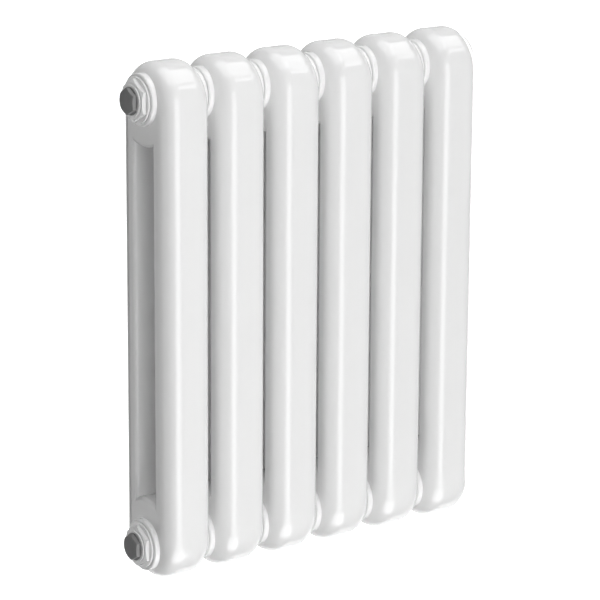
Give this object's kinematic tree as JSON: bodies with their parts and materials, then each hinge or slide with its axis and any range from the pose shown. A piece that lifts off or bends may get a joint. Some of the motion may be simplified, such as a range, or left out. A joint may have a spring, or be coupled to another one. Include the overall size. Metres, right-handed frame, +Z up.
{
  "type": "cast iron radiator",
  "caption": "Two-column cast iron radiator: rounded hollow sections joined by threaded nipples, with reducing bushes and hexagon blanking plugs at one end.",
  "frame": {"origin": "under the middle of the whole length and depth, level with the bottom of the sections", "axes": "+X along the row of sections, from the plugged end to the open tappings; -Y is the front, +Y the wall side; +Z up"},
  "size_m": [0.4518, 0.096, 0.58],
  "materials": {
    "white_enamel": "smooth gloss white enamel over cast iron",
    "white_bush": "gloss white enamel over turned iron",
    "bare_iron": "black oiled malleable iron",
    "joint_paint": "fibre gasket, its rim painted over with the radiator",
    "dark_grey_plug": "dark grey phosphated steel",
    "black_rubber": "matt black rubber"
  },
  "bodies": {
    "radiator": {"section_1": "white_enamel", "section_2": "white_enamel", "section_3": "white_enamel", "section_4": "white_enamel", "section_5": "white_enamel", "section_6": "white_enamel", "top_nipple_1": "bare_iron", "top_nipple_2": "bare_iron", "top_nipple_3": "bare_iron", "top_nipple_4": "bare_iron", "top_nipple_5": "bare_iron", "top_joint_gasket_1": "joint_paint", "top_joint_gasket_2": "joint_paint", "top_joint_gasket_3": "joint_paint", "top_joint_gasket_4": "joint_paint", "top_joint_gasket_5": "joint_paint", "top_bush": "white_bush", "top_bush_gasket": "joint_paint", "bottom_nipple_1": "bare_iron", "bottom_nipple_2": "bare_iron", "bottom_nipple_3": "bare_iron", "bottom_nipple_4": "bare_iron", "bottom_nipple_5": "bare_iron", "bottom_joint_gasket_1": "joint_paint", "bottom_joint_gasket_2": "joint_paint", "bottom_joint_gasket_3": "joint_paint", "bottom_joint_gasket_4": "joint_paint", "bottom_joint_gasket_5": "joint_paint", "bottom_bush": "white_bush", "bottom_bush_gasket": "joint_paint"},
    "top_plug_seal": {"top_plug_seal_ring": "black_rubber"},
    "top_plug": {"top_plug": "dark_grey_plug"},
    "bottom_plug_seal": {"bottom_plug_seal_ring": "black_rubber"},
    "bottom_plug": {"bottom_plug": "dark_grey_plug"}
  },
  "joints": [
    {"name": "top_plug_travel", "type": "slide", "parent": "radiator", "child": "top_plug_seal", "axis": [-1, 0, 0], "range_m": [0, 0.01088]},
    {"name": "top_plug_turn", "type": "hinge", "parent": "top_plug_seal", "child": "top_plug", "pos_m": [-0.2111, 0, 0.54], "axis": [-1, 0, 0], "range_deg": [0, 2160]},
    {"name": "bottom_plug_travel", "type": "slide", "parent": "radiator", "child": "bottom_plug_seal", "axis": [-1, 0, 0], "range_m": [0, 0.01088]},
    {"name": "bottom_plug_turn", "type": "hinge", "parent": "bottom_plug_seal", "child": "bottom_plug", "pos_m": [-0.2111, 0, 0.04], "axis": [-1, 0, 0], "range_deg": [0, 2160]}
  ],
  "couplings": [
    {"joint": "top_plug_turn", "follows": "top_plug_travel", "rad_per_m": 3463.7},
    {"joint": "bottom_plug_turn", "follows": "bottom_plug_travel", "rad_per_m": 3463.7}
  ]
}
